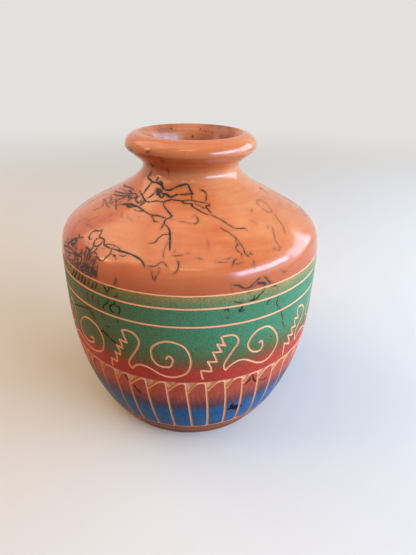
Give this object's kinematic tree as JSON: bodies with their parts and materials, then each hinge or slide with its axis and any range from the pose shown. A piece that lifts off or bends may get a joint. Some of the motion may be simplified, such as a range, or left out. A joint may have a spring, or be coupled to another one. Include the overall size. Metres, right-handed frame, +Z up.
{
  "type": "pottery vase",
  "caption": "Round-bellied fired clay vase with a sloping shoulder, short neck, rolled lip and a scratched, painted belly; stands on its foot ring.",
  "frame": {"origin": "centre of the foot, on the plane it stands on", "axes": "+Z up along the vase's axis of turning; -Y is the side the picture shows"},
  "size_m": [0.1796, 0.1798, 0.204],
  "materials": {
    "bare_clay": "unpainted terracotta, dull",
    "red_and_blue_band": "airbrushed red fading to blue on burnished terracotta, satin",
    "green_band": "airbrushed green on burnished terracotta, satin",
    "burnished_clay": "burnished terracotta with black carbon lines, soft gloss"
  },
  "bodies": {
    "root": {"foot_ring": "bare_clay", "floor_slab": "bare_clay", "fluted_wall": "red_and_blue_band", "frieze_wall": "green_band", "shoulder_wall": "burnished_clay", "neck_collar": "burnished_clay", "rolled_rim": "burnished_clay"}
  },
  "joints": []
}
